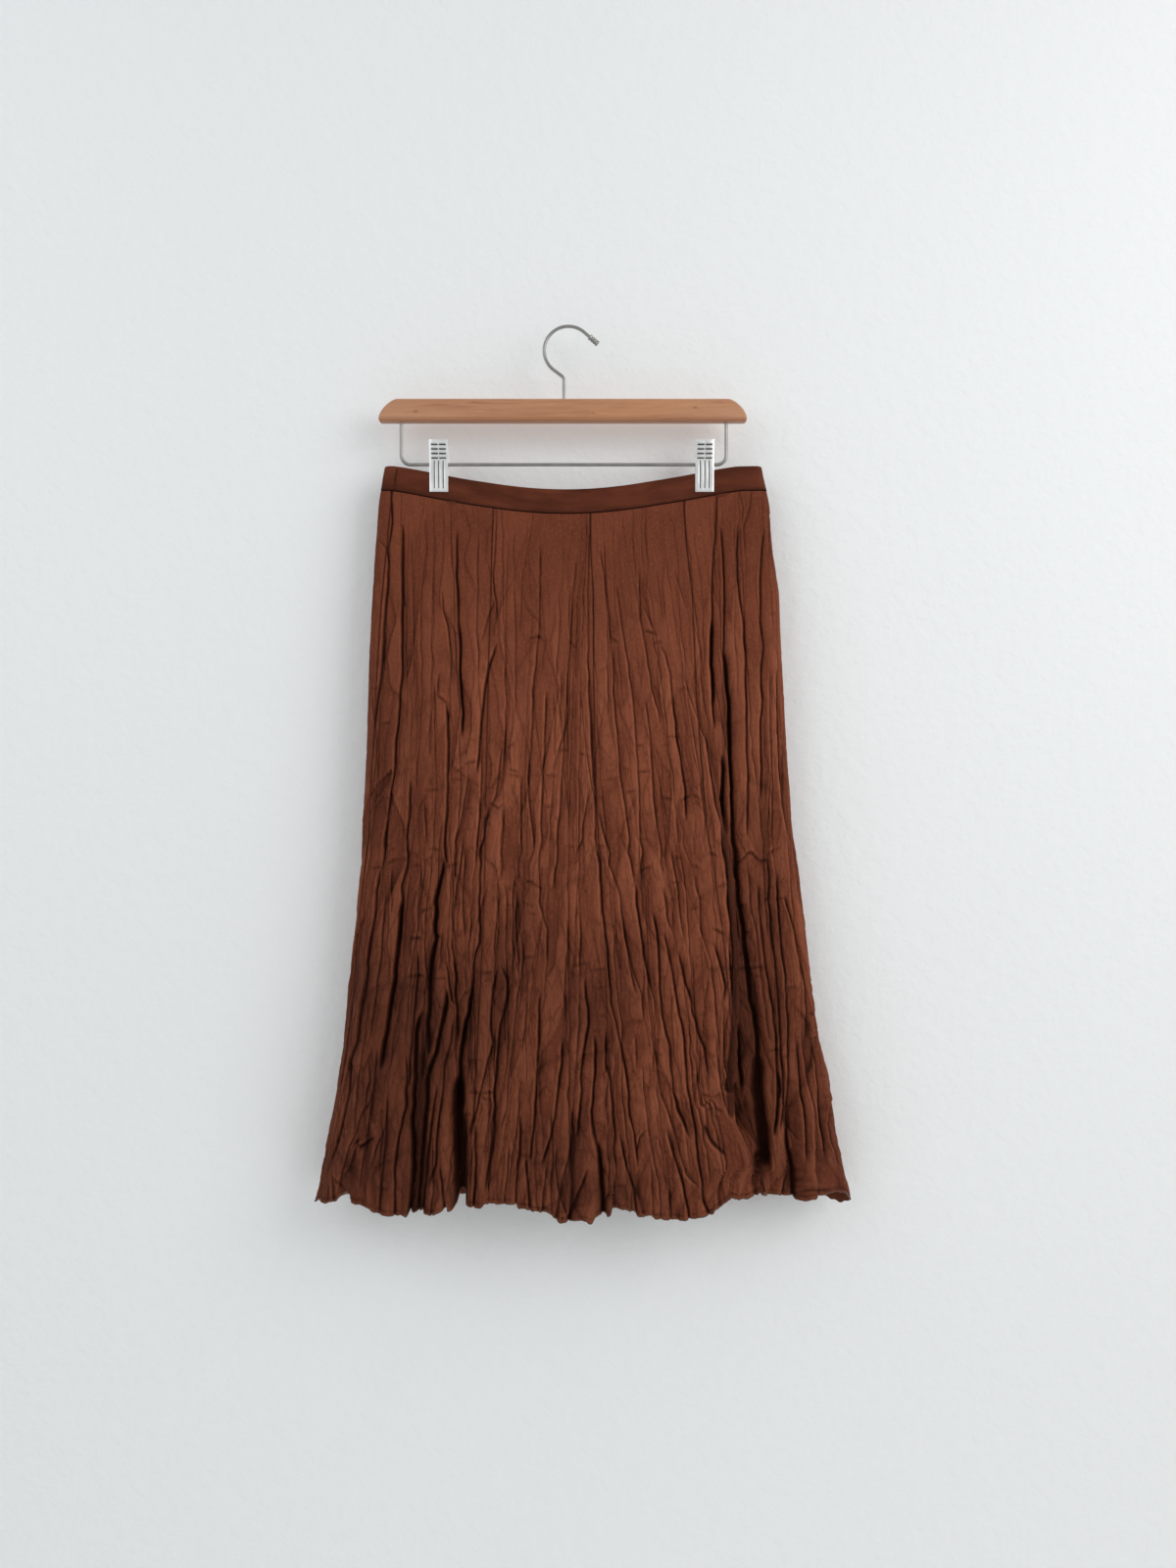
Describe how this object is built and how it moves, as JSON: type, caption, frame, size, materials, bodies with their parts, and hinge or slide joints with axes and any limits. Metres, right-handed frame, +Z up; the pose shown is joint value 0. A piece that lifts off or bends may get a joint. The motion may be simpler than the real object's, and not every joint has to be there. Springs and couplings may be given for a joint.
{
  "type": "pleated midi skirt on a clip hanger",
  "caption": "Crinkle-pleated gored midi skirt with a narrow waistband, hanging flat from a wooden clip hanger.",
  "frame": {"origin": "inner top of the hook, where a rail or nail carries the hanger", "axes": "+Z up, +X to the right along the hanger bar as seen from the front, and the front of the skirt faces -Y"},
  "size_m": [0.5172, 0.0658, 0.8488],
  "materials": {
    "cloth": "washed brown cloth with a soft satin sheen, crinkle pleated",
    "band": "the same cloth, pressed flat",
    "wood": "honey coloured wood under satin varnish",
    "nickel": "satin nickel plate"
  },
  "bodies": {
    "root": {"gore_front_1": "cloth", "gore_front_2": "cloth", "gore_front_3": "cloth", "gore_front_4": "cloth", "gore_back_1": "cloth", "gore_back_2": "cloth", "gore_back_3": "cloth", "gore_back_4": "cloth", "waistband_front": "band", "waistband_back": "band", "hanger_bar": "wood", "hanger_hook": "nickel", "hook_tip": "nickel", "hanger_rod": "nickel", "clip_left_front": "nickel", "clip_left_back": "nickel", "clip_left_spring": "nickel", "clip_right_front": "nickel", "clip_right_back": "nickel", "clip_right_spring": "nickel"}
  },
  "joints": []
}
